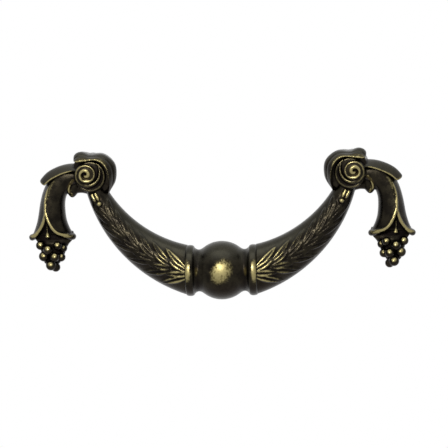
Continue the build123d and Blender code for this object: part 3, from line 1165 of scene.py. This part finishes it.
def armShare(share, x, out, up):
    # painted highlights on the leaflets, brightest by the collars, and on the stems under the scroll
    part = polish["arm"]
    along = eased(part["high"], part["low"], smoothStep(np.abs(x), part["near"], part["far"]))
    inThroat = (out <= part["throat"][0]) & (up <= part["throat"][1])
    share = np.where((out < part["to"]) | inThroat, along, share)
    part = polish["stems"]
    away = np.hypot(out - part["at"][0], up - part["at"][1]) / part["reach"]
    return share + part["gain"] * bell(away ** 2) * ((up < part["under"]) & (out < part["to"]))


def middleShare(share, x, up):
    # painted highlights: a line on each collar, a glint in each neck, and a leaning patch on the ball
    inner, outer = ball["collarX"] - ball["collarHalf"], ball["collarX"] + ball["collarHalf"]
    for name, within in (("collar", outer), ("neck", inner)):
        part = polish[name]
        tall, wide = (up - part["up"]) / part["tall"], (np.abs(x) - part["line"]) / part["wide"]
        spotShare = part["low"] + part["gain"] * bell(np.hypot(tall, wide))
        share = np.where(np.abs(x) < within, spotShare, share)
    part = polish["ball"]
    lean = math.radians(part["lean"])
    right, above = x - part["at"][0], up - part["at"][1]
    longWay = (right * math.cos(lean) + above * math.sin(lean)) / part["long"]
    shortWay = (above * math.cos(lean) - right * math.sin(lean)) / part["short"]
    patch = part["low"] + part["gain"] * bell(np.hypot(longWay, shortWay))
    return np.where(np.abs(x) < part["within"], patch, share)


def glintAndWearShare(at, normal):
    # painted highlights and rubbed brass together, with less of both toward the drawer front
    x, depth, up = at[:, 0], -at[:, 1], at[:, 2]
    out = np.abs(x) - holeX
    share = np.where(out > polish["drop"]["from"], dropShare(out, depth, up, normal), polish["plain"])
    share = scrollShare(share, out, depth, up)
    share = armShare(share, x, out, up)
    share = middleShare(share, x, up)
    part = polish["behind"]
    return np.clip(eased(part["share"], share, smoothStep(depth, part["from"], part["to"])), 0, 1)


# painted shade in the pocket between the husk's lips and under its mouth, in mm; heights count downwards
pocketShade = {
    "inset": (0.3, 0.8), "down": (14.6, 16.0), "bottom": 24.5, "depth": 19.2,
    "underFrom": 6.0, "underDown": (23.6, 24.2), "underDepth": (17.4, 18.2), "underShare": 0.6,
}


def pocketShadeShare(at):
    out, up, depth = np.abs(at[:, 0]) - holeX, at[:, 2], -at[:, 1]
    low, high = (
        np.interp(up, line[:, 1], line[:, 0])
        for line in (np.array(husk[name])[::-1] for name in ("innerLip", "outerLip"))
    )
    near, far = pocketShade["inset"]
    between = smoothStep(out, low + near, low + far) * (1 - smoothStep(out, high - far, high - near))
    inside = between * smoothStep(-up, *pocketShade["down"])
    inside = inside * (depth < pocketShade["depth"]) * (-up < pocketShade["bottom"])
    under = (out > pocketShade["underFrom"]) * smoothStep(-up, *pocketShade["underDown"])
    under = under * (1 - smoothStep(depth, *pocketShade["underDepth"])) * pocketShade["underShare"]
    return np.maximum(inside, under)


# how many rounds of blurring the surface is compared with, and the height in mm that counts in full
wear = {
    "nearRounds": 10,
    "nearHeight": 0.075,
    "nearShare": 0.6,
    "farRounds": 60,
    "farHeight": 0.40,
    "pocketShadeShare": 0.4,
}


def vectorsOf(data, name):
    values = np.empty(len(data) * 3)
    data.foreach_get(name, values)
    return values.reshape(-1, 3)


def measureWearAndLight(mesh):
    # how far each point stands above or below the surface around it, near and far
    count = len(mesh.vertices)
    at = vectorsOf(mesh.vertices, "co") / mm
    normal = vectorsOf(mesh.vertex_normals, "vector")
    edges = np.empty(len(mesh.edges) * 2, np.int64)
    mesh.edges.foreach_get("vertices", edges)
    edges = edges.reshape(-1, 2)
    blurred = at
    for number in range(1, wear["farRounds"] + 1):
        blurred = neighbourMean(blurred, edges, count)
        if number == wear["nearRounds"]:
            near = ((at - blurred) * normal).sum(axis=1)
    far = ((at - blurred) * normal).sum(axis=1)
    stands = eased(far / wear["farHeight"], near / wear["nearHeight"], wear["nearShare"])
    # ridge and pit give rubbed brass and patina, and pit also the painted pocket shade; facing, upward
    # and the glint map place painted highlights and reflections
    save = {
        "ridge": np.clip(0.5 + 0.5 * stands, 0, 1),
        "pit": np.clip(0.5 - 0.5 * stands + wear["pocketShadeShare"] * pocketShadeShare(at), 0, 1),
        "facing": np.clip(-normal[:, 1], 0, 1),
        "upward": 0.5 + 0.5 * normal[:, 2],
        "glintAndWear": glintAndWearShare(at, normal),
    }
    for name, values in save.items():
        values = neighbourMean(values[:, None], edges, count)[:, 0]
        mesh.attributes.new(name, "FLOAT", "POINT").data.foreach_set("value", values.astype(np.float32))


# Casting: the shells are melted into one skin and softened as a casting is

cast = {"voxel": 0.2, "smoothing": 3, "strength": 0.5, "mostTriangles": 190000}


def finishedPiece(name, mesh, mirrorIt):
    if mirrorIt:
        mesh.transform(((-1, 0, 0, 0), (0, 1, 0, 0), (0, 0, 1, 0), (0, 0, 0, 1)))
        mesh.flip_normals()
    mesh.materials.clear()
    mesh.materials.append(metal)
    mesh.shade_smooth()
    made = linkedObject(name, mesh)
    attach(made, "root")
    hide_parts("handle_casting")
    print(name, "has", len(mesh.polygons), "faces")


def castPiece(name, shells, mirrorIt):
    source = objectFrom(name, *joined(shells))
    melt = source.modifiers.new("melt", "REMESH")
    melt.mode = "VOXEL"
    melt.voxel_size = cast["voxel"] * mm
    soften = source.modifiers.new("soften", "SMOOTH")
    soften.factor = cast["strength"]
    soften.iterations = cast["smoothing"]
    mesh = plainMesh(source, name)
    measureWearAndLight(mesh)
    triangles = sum(len(face.vertices) - 2 for face in mesh.polygons)
    if triangles > cast["mostTriangles"]:
        source = linkedObject(name, mesh)
        thin = source.modifiers.new("thin", "DECIMATE")
        thin.ratio = cast["mostTriangles"] / triangles
        mesh = plainMesh(source, name)
    finishedPiece(name, mesh, mirrorIt)


def swept(name, lines, sides):
    return grownBy(ridges, ridgeSockets, guideLines(name, lines), {"Sides": sides}, metal)


def sideShells():
    balls = guidePoints("grapes", bunchRows() + leafBeads() + [stemBead()])
    return [
        armShell(), swept("leaves", leafLines() + stemLines(), 14),
        petalShell(hood, hoodFront), swept("spiral", voluteLines(), 12),
        discShell(**plate), discShell(**whorl),
        turned(volute["discProfile"], spot(*volute["discCentre"])),
        discShell(**lobeBed),
        petalShell(upperLeaf, upperLeafFront), huskShell(),
        swept("lips", lipLines() + curlLines() + [solidLine(bunch["bud"], 16)], 14),
        bunchCore(), grownBy(berries, berrySockets, balls, {"Detail": 4, "Seed": 7}, metal),
    ]


# the post behind each scroll, with a blind thread that is open to the drawer front
foot = {
    "radius": 5.5,
    "topRadius": 5.2,
    "top": 11.6,
    "pitch": 0.7,
    "threadDepth": 0.32,
    "threadRows": 120,
    "drillTip": 0.8,
    "steps": 72,
}


def footPiece(name, mirrorIt):
    turns, half = threadLength / foot["pitch"], foot["threadDepth"] / 2
    thread = [
        (threadRadius - half + half * math.cos(2 * math.pi * turns * share), threadLength * share)
        for share in np.linspace(1, 0, foot["threadRows"])
    ]
    profile = [
        (0, threadLength + foot["drillTip"]), *thread,
        (foot["radius"], 0), (foot["topRadius"], foot["top"]), (0, foot["top"]),
    ]
    mesh = plainMesh(objectFrom(name, *turned(profile, spot(0, 0), foot["steps"])), name)
    measureWearAndLight(mesh)
    finishedPiece(name, mesh, mirrorIt)


print("casting the sides")
shells = sideShells()
castPiece("rightSide", shells, False)
castPiece("leftSide", shells, True)
print("casting the middle")
castPiece("middleBall", [middleShell()], False)
print("turning the feet")
footPiece("rightFoot", False)
footPiece("leftFoot", True)


# Stage, light and camera

studio = {
    "azimuth": 3.6,
    "elevation": 7.5,
    "roll": 1.25,
    "frameWidth": 161.6,
    "lens": 300.0,
    "sensorWidth": 36.0,
    "aim": (1.85, -18.2),
    "aimDepth": 25.0,
    "worldLight": 0.25,
    # the floor, in mm
    "floorUp": -75,
    "floorReach": 900,
    "floorBehind": 300,
    "floorShade": 0.8,
}

# in metres and watts
lamps = {
    "front": {
        "place": (-0.06, -0.60, 0.19), "size": (0.12, 0.09), "energy": 2.4, "colour": (1.0, 0.98, 0.92),
    },
    "above": {
        "place": (0.0, -0.20, 0.55), "size": (0.7, 0.4), "energy": 1.3, "colour": (0.96, 0.98, 1.0),
    },
}
lampAim = Vector((0, -0.02, -0.02))


def whereSeen(nodes):
    # 1 for what the camera, the metal's reflections or glass see, 0 for what only lights the scene
    ray = nodes.add("ShaderNodeLightPath").outputs
    kinds = ("Camera", "Glossy", "Transmission")
    camera, glossy, through = (Value(nodes, ray[f"Is {kind} Ray"]) for kind in kinds)
    return (camera + glossy + through).clamped()


def shownWhite(name, shade):
    # plain and pale in the light, and white where it is seen
    material = bpy.data.materials.new(name)
    material.use_nodes = True
    nodes = Tree(material.node_tree)
    material.node_tree.nodes.clear()
    plain = nodes.add("ShaderNodeBsdfDiffuse", None, Color=(shade, shade, shade, 1))
    white = nodes.add("ShaderNodeEmission", None, Color=(1, 1, 1, 1), Strength=1.0)
    seen = whereSeen(nodes).socket
    both = nodes.add("ShaderNodeMixShader", None, at0=seen, at1=plain.outputs[0], at2=white.outputs[0])
    nodes.add("ShaderNodeOutputMaterial", None, Surface=both.outputs[0])
    return material


def areaLight(name, size, energy, place, colour):
    lamp = bpy.data.lights.new(name, "AREA")
    lamp.shape = "RECTANGLE"
    lamp.size, lamp.size_y = size
    lamp.energy = energy
    lamp.color = colour
    made = linkedObject(name, lamp)
    made.location = place
    made.rotation_euler = (lampAim - Vector(place)).to_track_quat("-Z", "Y").to_euler()


def makeStage():
    wide, far, up = studio["floorReach"], studio["floorBehind"], studio["floorUp"]
    corners = [(-wide, -wide, up), (wide, -wide, up), (wide, far, up), (-wide, far, up)]
    floor = objectFrom("floor", corners, [(0, 1, 2, 3)])
    floor.data.materials.append(shownWhite("floorPaper", studio["floorShade"]))
    world = bpy.data.worlds.new("studio")
    bpy.context.scene.world = world
    world.use_nodes = True
    nodes = Tree(world.node_tree)
    world.node_tree.nodes.clear()
    strength = whereSeen(nodes) * (1 - studio["worldLight"]) + studio["worldLight"]
    back = nodes.add("ShaderNodeBackground", None, Color=(1, 1, 1, 1), Strength=strength.socket)
    nodes.add("ShaderNodeOutputWorld", None, Surface=back.outputs[0])
    for name, lamp in lamps.items():
        areaLight(name, **lamp)


def makeCamera():
    azimuth, elevation, roll = (math.radians(studio[name]) for name in ("azimuth", "elevation", "roll"))
    level = Vector((math.sin(azimuth), -math.cos(azimuth), 0))
    back = level * math.cos(elevation) + Vector((0, 0, math.sin(elevation)))
    right = Vector((math.cos(azimuth), math.sin(azimuth), 0))
    up = back.cross(right)
    tiltedRight = right * math.cos(roll) - up * math.sin(roll)
    tiltedUp = right * math.sin(roll) + up * math.cos(roll)
    data = bpy.data.cameras.new("camera")
    data.lens = studio["lens"]
    data.sensor_width = studio["sensorWidth"]
    data.clip_start, data.clip_end = 0.01, 10
    distance = studio["frameWidth"] * mm * studio["lens"] / studio["sensorWidth"]
    across, above = studio["aim"]
    target = Vector((0, -studio["aimDepth"], 0)) + tiltedRight * across + tiltedUp * above
    camera = linkedObject("camera", data)
    turn = Matrix((tiltedRight, tiltedUp, back)).transposed().to_4x4()
    camera.matrix_world = Matrix.Translation(target * mm + back * distance) @ turn
    bpy.context.scene.camera = camera


makeStage()
makeCamera()
bpy.context.scene.view_settings.view_transform = "Standard"
